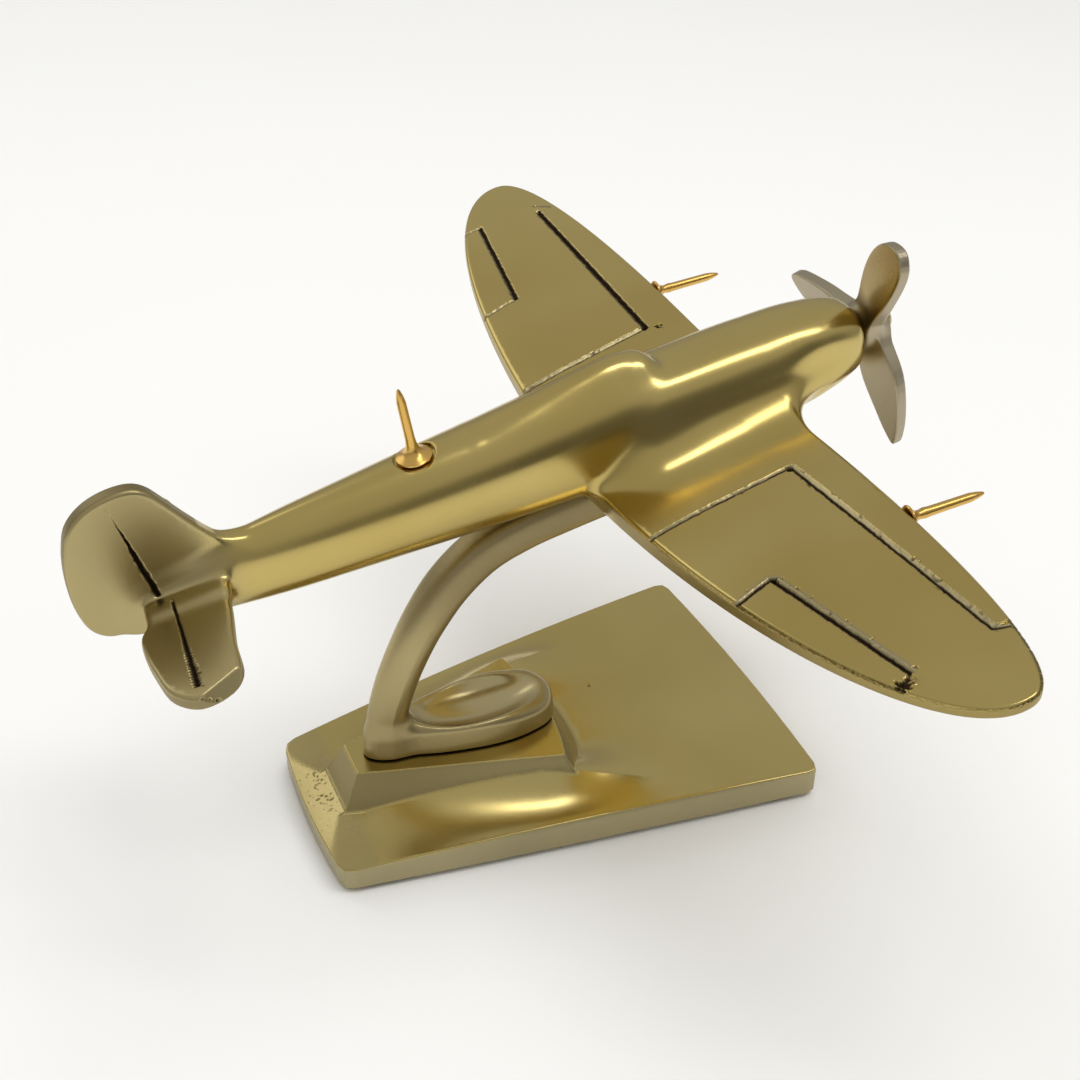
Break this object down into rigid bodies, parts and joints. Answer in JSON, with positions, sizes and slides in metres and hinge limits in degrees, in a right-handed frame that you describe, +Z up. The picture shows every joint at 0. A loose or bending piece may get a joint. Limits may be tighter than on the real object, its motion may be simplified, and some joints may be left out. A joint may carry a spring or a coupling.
{
  "type": "propeller plane desk ornament",
  "caption": "Solid brass propeller plane with elliptical wings, climbing on a curved arm with an oval dished foot over a tapered brass base; the propeller spins.",
  "frame": {"origin": "middle of the felt underside, where the ornament stands on a desk", "axes": "+Z up, -Y toward the plane's nose, +X toward the plane's own left (port) wing tip; the thrust axis climbs 9 degrees above -Y"},
  "size_m": [0.25, 0.2065, 0.1398],
  "materials": {
    "polished_brass": "polished, slightly aged",
    "propeller_brass": "brushed, worn pale on the edges",
    "pin_brass": "turned, satin",
    "nail_brass": "bright drawn brass",
    "arm_brass": "linished, satin",
    "base_brass": "polished top, linished sides",
    "felt": "short felt pile",
    "screw_steel": "zinc plated"
  },
  "bodies": {
    "ornament": {"airframe_casting": "polished_brass", "propeller_spindle": "pin_brass", "propeller_washer": "pin_brass", "aerial_mast": "nail_brass", "gun_barrel_left": "nail_brass", "gun_barrel_right": "nail_brass", "belly_screw_front": "screw_steel", "belly_screw_rear": "screw_steel", "stand_arm": "arm_brass", "base_casting": "base_brass", "base_felt": "felt", "foot_screw_front": "screw_steel", "foot_screw_rear": "screw_steel", "foot_washer_front": "screw_steel", "foot_washer_rear": "screw_steel"},
    "propeller": {"propeller": "propeller_brass"}
  },
  "joints": [
    {"name": "propeller_spin", "type": "hinge", "parent": "ornament", "child": "propeller", "pos_m": [0, -0.09103, 0.11296], "axis": [0, -0.9877, 0.1564], "continuous": true}
  ]
}
